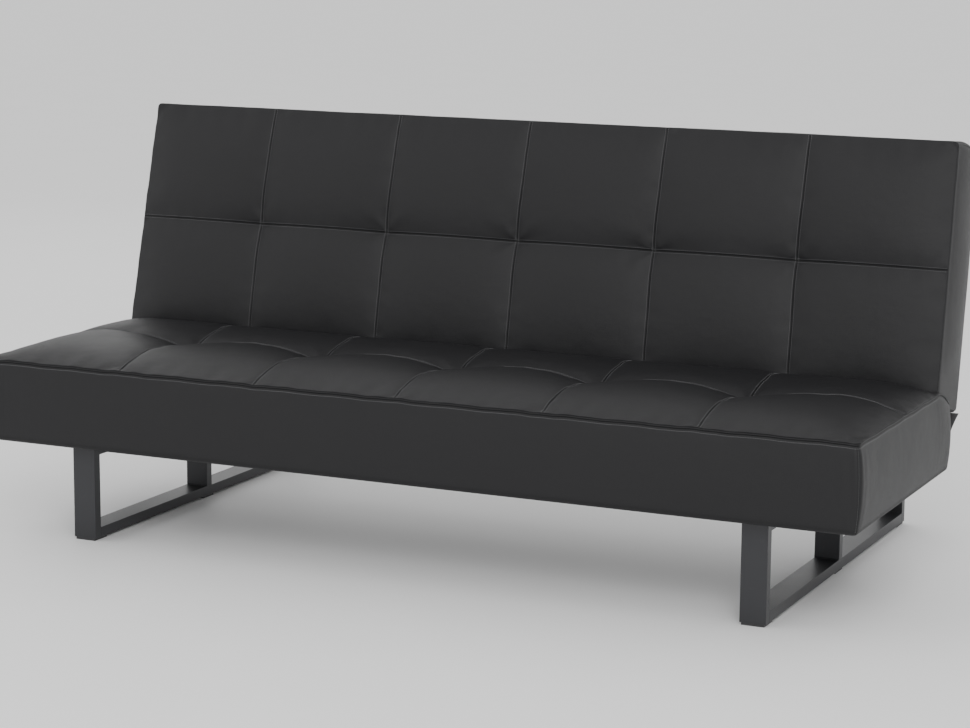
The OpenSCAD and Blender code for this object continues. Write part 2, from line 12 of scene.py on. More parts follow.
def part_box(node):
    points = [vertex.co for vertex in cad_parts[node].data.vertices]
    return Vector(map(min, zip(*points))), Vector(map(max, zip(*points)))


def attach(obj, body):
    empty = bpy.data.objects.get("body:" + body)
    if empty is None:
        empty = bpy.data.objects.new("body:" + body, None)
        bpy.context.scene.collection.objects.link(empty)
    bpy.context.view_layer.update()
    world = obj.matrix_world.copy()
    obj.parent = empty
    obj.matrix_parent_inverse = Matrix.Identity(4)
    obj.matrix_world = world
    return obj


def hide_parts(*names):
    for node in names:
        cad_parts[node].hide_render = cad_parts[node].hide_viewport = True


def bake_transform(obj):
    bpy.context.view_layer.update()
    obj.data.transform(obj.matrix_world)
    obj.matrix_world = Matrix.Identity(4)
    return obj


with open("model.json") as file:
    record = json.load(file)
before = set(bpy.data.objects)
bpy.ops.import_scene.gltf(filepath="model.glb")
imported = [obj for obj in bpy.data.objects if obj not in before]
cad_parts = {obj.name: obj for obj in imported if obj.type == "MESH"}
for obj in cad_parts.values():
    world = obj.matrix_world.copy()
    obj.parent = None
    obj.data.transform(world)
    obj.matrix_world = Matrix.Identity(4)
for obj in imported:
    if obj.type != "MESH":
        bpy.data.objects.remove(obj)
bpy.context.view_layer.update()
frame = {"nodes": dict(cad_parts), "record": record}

# ---- the frame's own measures -----------------------------------------------------------------

SEAT_LOW, SEAT_HIGH = (np.array(p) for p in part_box("seat_cover"))
FOLD = [j for j in frame["record"]["behaviour"]["joints"] if j["name"] == "back_fold"][0]
PIVOT = np.array(FOLD["pos_m"])
FOLD_ANGLE = math.radians(FOLD["range_deg"][1])
HALF = float(SEAT_HIGH[0])
FRONT = float(SEAT_LOW[1])
REAR = float(SEAT_HIGH[1])
SEAT_TOP = float(SEAT_HIGH[2])
SEAT_BASE = float(SEAT_LOW[2])
NOTCH_Y = float(PIVOT[1]) - 0.0709    # the rear seam, where the seat steps down between its ears
SHELF_Z = float(PIVOT[2]) + 0.0200    # top of that step
BACK_START = REAR + 0.006             # the back's lower end, in the bed position
BACK_LENGTH = 0.510
BACK_THICK = 0.162
PANELS = 6
SEAM_XS = [(i / PANELS - 0.5) * 2 * HALF for i in range(1, PANELS)]
SEAT_ROW = FRONT + 0.290              # the long seams across the seat and the back
BACK_ROW = BACK_START + 0.262


def folded(points):
    """Turns points drawn in the bed position up to the sitting position."""
    turn = np.array(Matrix.Rotation(FOLD_ANGLE, 3, "X"))
    return (np.asarray(points, float) - PIVOT) @ turn.T + PIVOT


# ---- camera -----------------------------------------------------------------------------------

CAMERA_PLACE = (2.174, FRONT - 4.279, 1.289)
CAMERA_TURNS = (24.81, 10.20, 0.47)
CAMERA_LENS = 97.68


def place_camera():
    yaw, pitch, roll = map(math.radians, CAMERA_TURNS)
    look = Vector((-math.sin(yaw) * math.cos(pitch), math.cos(yaw) * math.cos(pitch), -math.sin(pitch)))
    right = Vector((math.cos(yaw), math.sin(yaw), 0))
    up = right.cross(look)
    right_r = right * math.cos(roll) + up * math.sin(roll)
    up_r = up * math.cos(roll) - right * math.sin(roll)
    data = bpy.data.cameras.new("camera")
    data.sensor_width = 36
    data.lens = CAMERA_LENS
    data.clip_end = 100
    cam = bpy.data.objects.new("camera", data)
    turn = Matrix((right_r, up_r, -look)).transposed().to_4x4()
    cam.matrix_world = Matrix.Translation(CAMERA_PLACE) @ turn
    bpy.context.scene.collection.objects.link(cam)
    bpy.context.scene.camera = cam


place_camera()

# ---- shader maths -------------------------------------------------------------------------------


class Wire:
    """A shader socket that adds its Math nodes when it is used in an expression."""

    def __init__(self, finish, socket):
        self.finish, self.socket = finish, socket

    def maths(self, operation, *terms):
        made = self.finish.node("ShaderNodeMath", {"operation": operation}, dict(enumerate(terms)))
        return made[0]

    def __add__(self, other):
        return self.maths("ADD", self, other)

    def __radd__(self, other):
        return self.maths("ADD", other, self)

    def __sub__(self, other):
        return self.maths("SUBTRACT", self, other)

    def __rsub__(self, other):
        return self.maths("SUBTRACT", other, self)

    def __mul__(self, other):
        return self.maths("MULTIPLY", self, other)

    def __rmul__(self, other):
        return self.maths("MULTIPLY", other, self)

    def __pow__(self, other):
        return self.maths("POWER", self, other)

    def clamped(self, low, high):
        return self.maths("MINIMUM", self.maths("MAXIMUM", self, low), high)


class Finish:
    """A material made of nodes, with one Principled shader."""

    def __init__(self, name, metallic=0.0, ior=1.5, coat=0.0, coat_roughness=0.2, sheen=0.0):
        self.material = bpy.data.materials.new(name)
        self.material.use_nodes = True
        self.tree = self.material.node_tree
        self.shader = self.tree.nodes["Principled BSDF"]
        self.shader.inputs["Metallic"].default_value = metallic
        self.shader.inputs["IOR"].default_value = ior
        self.shader.inputs["Coat Weight"].default_value = coat
        self.shader.inputs["Coat Roughness"].default_value = coat_roughness
        self.shader.inputs["Sheen Weight"].default_value = sheen

    def plug(self, socket, value):
        if isinstance(value, Wire):
            self.tree.links.new(value.socket, socket)
        elif isinstance(value, (tuple, list)) and len(value) == 3 and len(socket.default_value) == 4:
            socket.default_value = (*value, 1)
        else:
            socket.default_value = value

    def node(self, kind, settings=None, inputs=None):
        """Adds a node and gives its outputs as wires, by name or by place."""
        made = self.tree.nodes.new(kind)
        for key, value in (settings or {}).items():
            if key == "stops":
                for i, (place, shade) in enumerate(value):
                    stop = made.color_ramp.elements[i] if i < 2 else made.color_ramp.elements.new(place)
                    stop.position = place
                    stop.color = (*shade, 1)
            else:
                setattr(made, key, value)
        for key, value in (inputs or {}).items():
            self.plug(made.inputs[key], value)
        wires = {o.name: Wire(self, o) for o in made.outputs if o.enabled}
        wires.update({i: Wire(self, o) for i, o in enumerate(made.outputs)})
        return wires

    def place(self):
        return self.node("ShaderNodeTexCoord")["Object"]

    def noise(self, scale, detail=2.0, roughness=0.5, at=None, stretch=None):
        where = at or self.place()
        if stretch:
            where = self.node("ShaderNodeMapping", None, {"Vector": where, "Scale": stretch})["Vector"]
        inputs = {"Vector": where, "Scale": scale, "Detail": detail, "Roughness": roughness}
        return self.node("ShaderNodeTexNoise", None, inputs)[0]

    def cells(self, scale, feature="DISTANCE_TO_EDGE", at=None):
        inputs = {"Vector": at or self.place(), "Scale": scale}
        return self.node("ShaderNodeTexVoronoi", {"feature": feature}, inputs)["Distance"]

    def mixed(self, amount, low, high):
        made = self.node("ShaderNodeMix", {"data_type": "RGBA"}, {0: amount, 6: low, 7: high})
        return made[2]

    def mark(self, name):
        return self.node("ShaderNodeAttribute", {"attribute_name": name})["Fac"]

    def bump(self, height, strength, distance, normal=None):
        inputs = {"Height": height, "Strength": strength, "Distance": distance}
        if normal:
            inputs["Normal"] = normal
        return self.node("ShaderNodeBump", None, inputs)["Normal"]

    def done(self, color, roughness, normal=None):
        self.plug(self.shader.inputs["Base Color"], color)
        self.plug(self.shader.inputs["Roughness"], roughness)
        if normal:
            self.plug(self.shader.inputs["Normal"], normal)
        return self.material


def leather_finish():
    """Black polyurethane leather: fine pebble grain, soft sheen, painted shade in the seam folds, painted
    highlight with some wear on the ridges.
    """
    f = Finish("black_faux_leather", ior=1.39)
    spot = f.place()
    warp = f.noise(260, 2, 0.6, spot)
    pebble = f.cells(760, at=spot)
    fine = f.noise(3400, 2, 0.6, spot)
    cloudy = f.noise(5.5, 3, 0.55, spot)
    streak = f.noise(38, 3, 0.6, spot)
    fold = f.mark("fold")
    rub = f.mark("rub")
    # Lighter tone from cloudy and streaky noise, plus painted highlight, with some wear, on the seam ridges
    # and the top edge.
    shade = (cloudy * 0.5 + streak * 0.35 + rub * 0.25).clamped(0, 1)
    color = f.mixed(shade, (0.0046, 0.0045, 0.0054), (0.0088, 0.0087, 0.0100))
    # Painted shade: darker colour in the seam grooves, under the top edge, along the bottom hem and down
    # the corner creases.
    color = f.mixed(fold, color, (0.0022, 0.0022, 0.0025))
    rough = (0.40 + cloudy * 0.10 + streak * 0.06 + fold * 0.22 - rub * 0.05).clamped(0.2, 0.9)
    grain = (pebble * 2.2).clamped(0, 1) ** 0.5 + fine * 0.35 + warp * 0.5
    normal = f.bump(grain, 0.30, 0.0006)
    normal = f.bump(streak, 0.16, 0.004, normal)
    return f.done(color, rough, normal)


def thread_finish():
    """Charcoal sewing thread with its twist."""
    f = Finish("charcoal_thread", sheen=0.3)
    twist = f.noise(1500, 2, 0.5)
    color = f.mixed(twist, (0.060, 0.060, 0.064), (0.130, 0.130, 0.136))
    return f.done(color, 0.5 + twist * 0.2, f.bump(twist, 0.5, 0.0004))


def powder_coat_finish():
    """Anthracite powder coat: fine orange peel, a little dust, rubbed edges."""
    f = Finish("anthracite_powder_coat", metallic=0.35, ior=1.5, coat=0.15, coat_roughness=0.3)
    peel = f.noise(900, 2, 0.5)
    drift = f.noise(9, 3, 0.6)
    scuff = f.noise(60, 4, 0.7, stretch=(1, 6, 1))
    worn = (scuff - 0.62).clamped(0, 1) * 2.0
    color = f.mixed(drift, (0.020, 0.0205, 0.023), (0.030, 0.0305, 0.034))
    color = f.mixed(worn, color, (0.06, 0.06, 0.064))
    return f.done(color, 0.36 + drift * 0.10 + peel * 0.06, f.bump(peel, 0.22, 0.0005))


def weld_finish():
    """Weld beads under the leg paint."""
    f = Finish("painted_weld", metallic=0.3)
    ripple = f.noise(420, 2, 0.5)
    return f.done(f.mixed(ripple, (0.018, 0.0185, 0.021), (0.034, 0.0345, 0.038)), 0.4 + ripple * 0.2,
                  f.bump(ripple, 0.4, 0.001))


def metal_finish(name, low, high, rough):
    """Plated or bare steel with drawn scratches and stains."""
    f = Finish(name, metallic=0.9)
    drawn = f.noise(700, 3, 0.6)
    stain = f.noise(45, 4, 0.6)
    color = f.mixed((drawn * 0.5 + stain * 0.6).clamped(0, 1), low, high)
    return f.done(color, (rough + stain * 0.18).clamped(0.1, 0.9), f.bump(drawn, 0.15, 0.0003))


def plastic_finish(name, low, high, rough):
    """Moulded plastic or rubber with a spark-eroded skin."""
    f = Finish(name, ior=1.5)
    skin = f.noise(1300, 2, 0.6)
    dust = f.noise(30, 3, 0.6)
    return f.done(f.mixed(dust, low, high), rough + dust * 0.12, f.bump(skin, 0.35, 0.0004))


def wood_finish():
    """Sawn pine: growth rings, pores and a few darker streaks."""
    f = Finish("sawn_pine")
    rings = f.noise(14, 4, 0.6, stretch=(0.6, 7, 9))
    pores = f.noise(520, 2, 0.6, stretch=(0.06, 1, 1))
    tone = (rings * 0.8 + pores * 0.25).clamped(0, 1)
    ramp = f.node("ShaderNodeValToRGB", {"stops": [(0.25, (0.36, 0.21, 0.10)), (0.75, (0.66, 0.46, 0.25))]},
                  {"Fac": tone})["Color"]
    return f.done(ramp, 0.62 + pores * 0.2, f.bump(pores, 0.4, 0.0008))


def foam_finish():
    """Open-cell cream foam."""
    f = Finish("cream_foam", sheen=0.2)
    cells = f.cells(420)
    tone = f.noise(7, 3, 0.6)
    color = f.mixed(tone, (0.62, 0.52, 0.30), (0.76, 0.68, 0.46))
    return f.done(color, 0.85 + tone * 0.1, f.bump(cells, 0.7, 0.002))


def felt_finish(name, low, high):
    """Pressed fibre sheet, such as felt or non-woven lining."""
    f = Finish(name, sheen=0.35)
    fibre = f.noise(900, 4, 0.75)
    dots = f.cells(300, "F1")
    patch = f.noise(18, 3, 0.6)
    color = f.mixed((fibre * 0.6 + patch * 0.4).clamped(0, 1), low, high)
    return f.done(color, 0.8 + patch * 0.15, f.bump(fibre * 0.6 + dots * 0.5, 0.5, 0.0008))


def floor_finish():
    """Pale matt floor."""
    f = Finish("pale_floor", ior=1.4)
    speck = f.noise(3, 2, 0.5)
    return f.done(f.mixed(speck, (0.90, 0.90, 0.90), (0.93, 0.93, 0.93)), 0.55 + speck * 0.1)


LEATHER = leather_finish()
THREAD = thread_finish()
POWDER = powder_coat_finish()
WELD = weld_finish()
ZINC = metal_finish("zinc_plate", (0.42, 0.42, 0.40), (0.62, 0.62, 0.60), 0.28)
RATCHET = metal_finish("hardened_steel", (0.10, 0.10, 0.11), (0.22, 0.22, 0.23), 0.35)
SPRING = metal_finish("spring_wire", (0.22, 0.22, 0.22), (0.40, 0.40, 0.39), 0.30)
STAPLE = metal_finish("staple_wire", (0.45, 0.45, 0.44), (0.62, 0.62, 0.60), 0.25)
GLIDE = plastic_finish("black_glide_plastic", (0.012, 0.012, 0.013), (0.03, 0.03, 0.032), 0.45)
RUBBER = plastic_finish("black_rubber", (0.012, 0.012, 0.012), (0.028, 0.028, 0.028), 0.7)
CLIP = plastic_finish("white_clip_plastic", (0.60, 0.60, 0.57), (0.72, 0.72, 0.69), 0.5)
PINE = wood_finish()
FOAM = foam_finish()
FELT = felt_finish("grey_spring_felt", (0.14, 0.135, 0.13), (0.30, 0.29, 0.28))
LINING = felt_finish("black_lining", (0.010, 0.010, 0.011), (0.028, 0.028, 0.030))
CORD = felt_finish("nylon_cord", (0.45, 0.43, 0.36), (0.66, 0.63, 0.55))

# ---- making meshes ------------------------------------------------------------------------------


def new_piece(name, points, faces, finish, smooth=True, edges=()):
    mesh = bpy.data.meshes.new(name)
    mesh.from_pydata([tuple(p) for p in points], list(edges), [tuple(f) for f in faces])
    mesh.update()
    if finish:
        mesh.materials.append(finish)
    if smooth and faces:
        mesh.polygons.foreach_set("use_smooth", [True] * len(mesh.polygons))
    made = bpy.data.objects.new(name, mesh)
    bpy.context.scene.collection.objects.link(made)
    return made


def points_of(mesh):
    flat = np.empty(len(mesh.vertices) * 3)
    mesh.vertices.foreach_get("co", flat)
    return flat.reshape(-1, 3)


def normals_of(mesh):
    flat = np.empty(len(mesh.vertices) * 3)
    mesh.vertices.foreach_get("normal", flat)
    return flat.reshape(-1, 3)


def move_points(mesh, points):
    mesh.vertices.foreach_set("co", np.asarray(points, float).ravel())
    mesh.update()


def settle(piece):
    """Applies a piece's modifiers and gives back a plain mesh at the origin."""
    graph = bpy.context.evaluated_depsgraph_get()
    graph.update()
    mesh = bpy.data.meshes.new_from_object(piece.evaluated_get(graph))
    mesh.name = piece.name
    piece.modifiers.clear()
    piece.data = mesh
    return piece


def tube(name, path, radius, finish, sides=8, closed=False, wave=0.0):
    """Round cord that follows a path of points, with domed ends and a wavering thickness."""
    path = np.asarray(path, float)
    n = len(path)
    points, faces = [], []
    ahead = np.roll(path, -1, 0) - np.roll(path, 1, 0)
    if not closed:
        ahead[0] = path[1] - path[0]
        ahead[-1] = path[-1] - path[-2]
    ahead /= np.maximum(np.linalg.norm(ahead, axis=1), 1e-9)[:, None]
    side = np.cross(ahead[0], (0.21, 0.35, 0.91))
    side /= np.linalg.norm(side)
    for i in range(n):
        side = side - ahead[i] * (side @ ahead[i])
        side /= np.linalg.norm(side)
        over = np.cross(ahead[i], side)
        r = radius * (1 + wave * math.sin(i * 1.7))
        for k in range(sides):
            a = 2 * math.pi * k / sides
            points.append(path[i] + r * (math.cos(a) * side + math.sin(a) * over))
    for i in range(n if closed else n - 1):
        j = (i + 1) % n
        for k in range(sides):
            m = (k + 1) % sides
            faces.append((i * sides + k, i * sides + m, j * sides + m, j * sides + k))
    if not closed:
        for i, sign in ((0, -1), (n - 1, 1)):
            tip = len(points)
            points.append(path[i] + sign * ahead[i] * radius * 0.6)
            for k in range(sides):
                m = (k + 1) % sides
                ring = (i * sides + k, i * sides + m)
                faces.append((ring[0], ring[1], tip) if sign > 0 else (ring[1], ring[0], tip))
    return new_piece(name, points, faces, finish)


def joined(name, pieces):
    """Several pieces as one object."""
    points, faces, marks = [], [], []
    materials = []
    for piece in pieces:
        start = len(points)
        points.extend(points_of(piece.data))
        for m in piece.data.materials:
            if m not in materials:
                materials.append(m)
        slots = [materials.index(m) for m in piece.data.materials]
        for poly in piece.data.polygons:
            faces.append([start + v for v in poly.vertices])
            marks.append(slots[poly.material_index] if slots else 0)
        bpy.data.objects.remove(piece)
    made = new_piece(name, points, faces, None)
    for m in materials:
        made.data.materials.append(m)
    made.data.polygons.foreach_set("material_index", marks)
    return made


def softened(node, name, finish, width, segments):
    """A copy of a frame part with its long edges rounded over; it stands for that part."""
    shortest = 0.004
    sharpest = 0.6
    mesh = frame["nodes"][node].data.copy()
    b = bmesh.new()
    b.from_mesh(mesh)
    bmesh.ops.remove_doubles(b, verts=b.verts, dist=1e-6)
    bmesh.ops.dissolve_limit(b, angle_limit=0.02, verts=b.verts, edges=b.edges)
    sharp = [e for e in b.edges
             if e.is_manifold and e.calc_face_angle(0) > sharpest and e.calc_length() > shortest]
    bmesh.ops.bevel(b, geom=sharp, offset=width, segments=segments, affect="EDGES", profile=0.5,
                    clamp_overlap=True)
    bmesh.ops.triangulate(b, faces=[f for f in b.faces if len(f.verts) > 4])
    b.to_mesh(mesh)
    b.free()
    mesh.materials.clear()
    mesh.materials.append(finish)
    made = bpy.data.objects.new(name, mesh)
    bpy.context.scene.collection.objects.link(made)
    mesh.polygons.foreach_set("use_smooth", [False] * len(mesh.polygons))
    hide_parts(node)
    return made


# ---- repeats along a line, by Geometry Nodes -----------------------------------------------------


def repeat_tree(name, shape):
    """A tree that sets one small shape again and again along its input's lines."""
    tree = bpy.data.node_groups.new(name, "GeometryNodeTree")
    face = tree.interface
    face.new_socket("Geometry", in_out="INPUT", socket_type="NodeSocketGeometry")
    for label, start in (("Spacing", 0.005), ("Length", 0.003), ("Width", 0.001), ("Height", 0.001)):
        made = face.new_socket(label, in_out="INPUT", socket_type="NodeSocketFloat")
        made.default_value = start
    face.new_socket("Finish", in_out="INPUT", socket_type="NodeSocketMaterial")
    face.new_socket("Geometry", in_out="OUTPUT", socket_type="NodeSocketGeometry")
    add, link = tree.nodes.new, tree.links.new
    come, go = add("NodeGroupInput"), add("NodeGroupOutput")
    line = add("GeometryNodeMeshToCurve")
    steps = add("GeometryNodeResampleCurve")
    steps.mode = "LENGTH"
    along = add("GeometryNodeInputTangent")
    turn = add("FunctionNodeAlignRotationToVector")
    turn.axis = "X"
    size = add("ShaderNodeCombineXYZ")
    if shape == "pill":
        seed = add("GeometryNodeMeshUVSphere")
        seed.inputs["Segments"].default_value = 6
        seed.inputs["Rings"].default_value = 5
        seed.inputs["Radius"].default_value = 0.5
    else:
        seed = add("GeometryNodeMeshCube")
        seed.inputs["Size"].default_value = (1, 1, 1)
    scaled = add("GeometryNodeTransform")
    copies = add("GeometryNodeInstanceOnPoints")
    real = add("GeometryNodeRealizeInstances")
    paint = add("GeometryNodeSetMaterial")
    link(come.outputs["Geometry"], line.inputs["Mesh"])
    link(line.outputs["Curve"], steps.inputs["Curve"])
    link(come.outputs["Spacing"], steps.inputs["Length"])
    link(come.outputs["Length"], size.inputs["X"])
    link(come.outputs["Width"], size.inputs["Y"])
    link(come.outputs["Height"], size.inputs["Z"])
    link(seed.outputs["Mesh"], scaled.inputs["Geometry"])
    link(size.outputs["Vector"], scaled.inputs["Scale"])
    link(along.outputs["Tangent"], turn.inputs["Vector"])
    link(steps.outputs["Curve"], copies.inputs["Points"])
    link(scaled.outputs["Geometry"], copies.inputs["Instance"])
    link(turn.outputs["Rotation"], copies.inputs["Rotation"])
    link(copies.outputs["Instances"], real.inputs["Geometry"])
    link(real.outputs["Geometry"], paint.inputs["Geometry"])
    link(come.outputs["Finish"], paint.inputs["Material"])
    link(paint.outputs["Geometry"], go.inputs["Geometry"])
    return tree


PILL_ROW = repeat_tree("pill_row", "pill")
BLOCK_ROW = repeat_tree("block_row", "block")


def repeated(name, lines, tree, spacing, size, finish, smooth=True):
    """Small shapes set along several open lines, as one plain mesh."""
    points, edges = [], []
    for line in lines:
        start = len(points)
        points.extend(line)
        edges.extend((start + i, start + i + 1) for i in range(len(line) - 1))
    piece = new_piece(name, points, [], None, edges=edges)
    rows = piece.modifiers.new("rows", "NODES")
    rows.node_group = tree
    wanted = {"Spacing": spacing, "Length": size[0], "Width": size[1], "Height": size[2], "Finish": finish}
    for item in tree.interface.items_tree:
        if item.in_out == "INPUT" and item.name in wanted:
            rows[item.identifier] = wanted[item.name]
    settle(piece)
    piece.data.polygons.foreach_set("use_smooth", [smooth] * len(piece.data.polygons))
    return piece


# ---- upholstered pads ---------------------------------------------------------------------------

SEAM_STEPS = (-0.0078, -0.0052, -0.0030, -0.0013, 0.0, 0.0013, 0.0030, 0.0052, 0.0078)
EDGE_STEPS = (0.0, 0.0016, 0.0042, 0.0080, 0.0130)
SEAM_REACH = SEAM_STEPS[-1]
STITCH_OFFSET = 0.0030                # from a seam to its topstitching
DIMPLE_REACH = 0.036
FOOT_RISE = 0.0085                    # where the boxing turns in to the bottom


def graded(start, end, cells):
    """Places between two lines, closer together towards both."""
    t = np.arange(1, cells) / cells
    t = 0.35 * t + 0.65 * (0.5 - 0.5 * np.cos(math.pi * t))
    return list(start + (end - start) * t)


def pad_lines(low, high, seams, cells, start_steps=EDGE_STEPS, end_steps=EDGE_STEPS):
    """Grid lines across a pad: tight at its edges and seams, wider on its panels."""
    lines = [low + s for s in start_steps]
    for seam in seams:
        lines += graded(lines[-1], seam + SEAM_STEPS[0], cells)
        lines += [seam + s for s in SEAM_STEPS]
    lines += graded(lines[-1], high - end_steps[-1], cells)
    lines += [high - s for s in reversed(end_steps)]
    return np.array(lines)


def corner_rounded(x, y, low, high, radius):
    """Moves a place in a rectangle so that the rectangle's corners become round."""
    mid = (low + high) / 2
    half = (high - low) / 2 - radius
    off = np.array((x, y)) - mid
    u = (abs(off[0]) - half[0]) / radius
    v = (abs(off[1]) - half[1]) / radius
    if u <= 0 or v <= 0:
        return x, y
    far, near = max(u, v), min(u, v)
    a = math.pi / 4 * near / far
    r = far * radius
    du, dv = r * math.cos(a), r * math.sin(a)
    if v > u:
        du, dv = dv, du
    return (mid[0] + math.copysign(half[0] + du, off[0]), mid[1] + math.copysign(half[1] + dv, off[1]))


def bulge(t, power):
    """0 at both ends of a panel and 1 in its middle, rising fast like stuffed leather."""
    return (1 - abs(2 * np.clip(t, 0, 1) - 1) ** power)


class Pad:
    """One tufted pad, drawn in the bed position as a grid folded over a block."""

    def __init__(self, name, low, high, base, top, seams, row, shape):
        self.name, self.low, self.high = name, np.array(low, float), np.array(high, float)
        self.base, self.top, self.seams, self.row = base, top, seams, row
        self.shape = shape
        self.xs = pad_lines(low[0], high[0], seams, shape["cells_x"])
        ends = shape.get("rear_steps", EDGE_STEPS)
        self.ys = pad_lines(low[1], high[1], [row], shape["cells_y"], EDGE_STEPS, ends)
        self.build()

    def seam_heights(self, x, y):
        """Height of the two seams nearest to a place, above the pad's edge line."""
        s = self.shape
        rise, dip = s["seam_rise"], s["dip"]
        length = self.row - self.low[1] if y < self.row else self.seam_end() - self.row
        t = abs(y - self.row) / length
        column = rise * math.sin(math.pi * min(t, 1)) ** 0.8
        column -= dip * math.exp(-((t * length) / DIMPLE_REACH) ** 1.2)
        step = self.seams[1] - self.seams[0]
        near = (x - self.seams[0]) / step
        gap = min(abs(x - q) for q in self.seams)
        share = min(gap / step, 1)
        if 0 < near < len(self.seams) - 1:
            share = near - math.floor(near)
        lift = rise * math.sin(math.pi * share) ** 0.8
        across = lift * s["row_rise"] - dip * math.exp(-(gap / DIMPLE_REACH) ** 1.2)
        return column, across

    def seam_end(self):
        return self.shape.get("top_end", self.high[1])

    def height(self, x, y):
        """Height of the crowned top above the edge line, before it is blown up."""
        s = self.shape
        column, across = self.seam_heights(x, y)
        gap_x = min(abs(x - q) for q in self.seams)
        ends_x = min(x - self.low[0], self.high[0] - x)
        gap_y = abs(y - self.row)
        end = self.seam_end()
        ends_y = min(y - self.low[1], end - y)
        panel_x = self.seams[1] - self.seams[0]
        panel_y = self.row - self.low[1] if y < self.row else end - self.row
        u = np.clip(min(gap_x, ends_x) / panel_x, 0, 0.5)
        v = np.clip(min(gap_y, ends_y) / panel_y, 0, 0.5)
        crown = s["crown"] * bulge(u, 3.0) ** 0.75 * bulge(v, 3.0) ** 0.75
        wx = math.exp(-(gap_x / 0.050)) if gap_x <= ends_x else 0.0
        wy = math.exp(-(gap_y / 0.050)) if gap_y <= ends_y else 0.0
        fade_x = min(1.0, ends_x / 0.05)
        fade_y = min(1.0, max(ends_y, 0.0) / 0.03)
        base = (column * wx * fade_y + across * wy * fade_x) / max(wx + wy, 1e-6) * max(wx, wy)
        deep = np.clip((y - self.low[1]) / s["loft_run"], 0, 1)
        deep *= np.clip((end - y) / s["loft_run"] + s["loft_end"], 0, 1)
        loft = s["loft"] * math.sin(math.pi / 2 * deep) * math.sin(math.pi / 2 * min(1.0, ends_x / 0.12))
        edge = math.exp(-max(0.0, min(ends_x, y - self.low[1], max(ends_y, 0))) / 0.012)
        ripple = 0.0007 * (math.sin(53 * (x + y) + 1) + 0.7 * math.sin(131 * (x - y) + 2)) * edge
        return crown + base + loft + ripple

    def build(self):
        s = self.shape
        nx, ny = len(self.xs), len(self.ys)
        points = []
        self.top_index = np.zeros((nx, ny), int)
        for i, x in enumerate(self.xs):
            for j, y in enumerate(self.ys):
                px, py = corner_rounded(x, y, self.low[:2], self.high[:2], s["corner"])
                inward = min(1.0, (self.high[0] - abs(x)) / 0.15)
                px += inward * (s["lean"] * max(0.0, 1 - (y - self.low[1]) / (self.row - self.low[1]))
                                + s["bow"] * math.exp(-((y - self.row) / 0.10) ** 2))
                z = self.top + self.height(x, min(y, self.seam_end()))
                if "shelf" in s:
                    z = s["shelf"](x, py, z)
                self.top_index[i, j] = len(points)
                points.append((px, py, z))
        ring = [(i, 0) for i in range(nx)]
        ring += [(nx - 1, j) for j in range(1, ny)]
        ring += [(i, ny - 1) for i in range(nx - 2, -1, -1)]
        ring += [(0, j) for j in range(ny - 2, 0, -1)]
        self.ring = ring
        for k, p in enumerate(points):
            t = (p[1] - self.low[1]) / (self.high[1] - self.low[1])
            points[k] = (p[0] * (1 - s["narrow"] / self.high[0] * max(0.0, t) ** 1.3), p[1], p[2])
        middle = np.append((self.low[:2] + self.high[:2]) / 2, 0)
        levels = [self.top_index[i, j] for i, j in ring]
        self.levels = [levels]
        drops = (0.0017, 0.0036, 0.0056, 0.0088, 0.0145)
        tucks = (0.0026, 0.0030, 0.0004, -0.0004, -0.0012)
        core = (self.high[:2] - self.low[:2]) / 2 - s["corner"]
        ring_points = [np.array(points[v]) for v in levels]
        outs = []
        for i, j in ring:
            out = np.array(((i == nx - 1) - (i == 0), (j == ny - 1) - (j == 0), 0), float)
            outs.append(out / np.linalg.norm(out))
        for k in range(len(outs)):
            p = ring_points[k]
            corner = np.clip((np.abs(p[:2] - middle[:2]) - core) / s["corner"], 0, 1)
            if corner.min() > 0:
                out = np.array((*corner, 0)) * np.sign(p - middle)
                outs[k] = out / np.linalg.norm(out)
        self.outs = outs
        rows = [("drop", d, t) for d, t in zip(drops, tucks)]
        rows += [("share", q, None) for q in graded(0.0, 1.0, s["side_cells"])]
        rows += [("foot", FOOT_RISE, -0.0006), ("foot", 0.0030, 0.0008), ("foot", 0.0, 0.0060)]
        foot = self.base + FOOT_RISE
        for kind, value, tuck in rows:
            level = []
            for k, p in enumerate(ring_points):
                start = p[2] - drops[-1]
                if kind == "drop":
                    z, pull = p[2] - value, tuck
                elif kind == "share":
                    z = start + (foot - start) * value
                    pull = -(0.0012 + s["side_bulge"](p, outs[k]) * bulge(value, 2.0))
                else:
                    z, pull = self.base + value, tuck
                q = p - outs[k] * pull
                level.append(len(points))
                points.append((q[0], q[1], z))
            self.levels.append(level)
        hem = []
        for p in ring_points:
            q = middle[:2] + (p[:2] - middle[:2]) * (1 - 0.030 / (self.high[:2] - middle[:2]))
            hem.append(len(points))
            points.append((q[0], q[1], self.base))
        self.levels.append(hem)
        faces = []
        for i in range(nx - 1):
            for j in range(ny - 1):
                t = self.top_index
                faces.append((t[i, j], t[i + 1, j], t[i + 1, j + 1], t[i, j + 1]))
        n = len(ring)
        for a, b in zip(self.levels, self.levels[1:]):
            for k in range(n):
                m = (k + 1) % n
                faces.append((a[k], b[k], b[m], a[m]))
        self.piece = new_piece(self.name, points, faces, LEATHER)

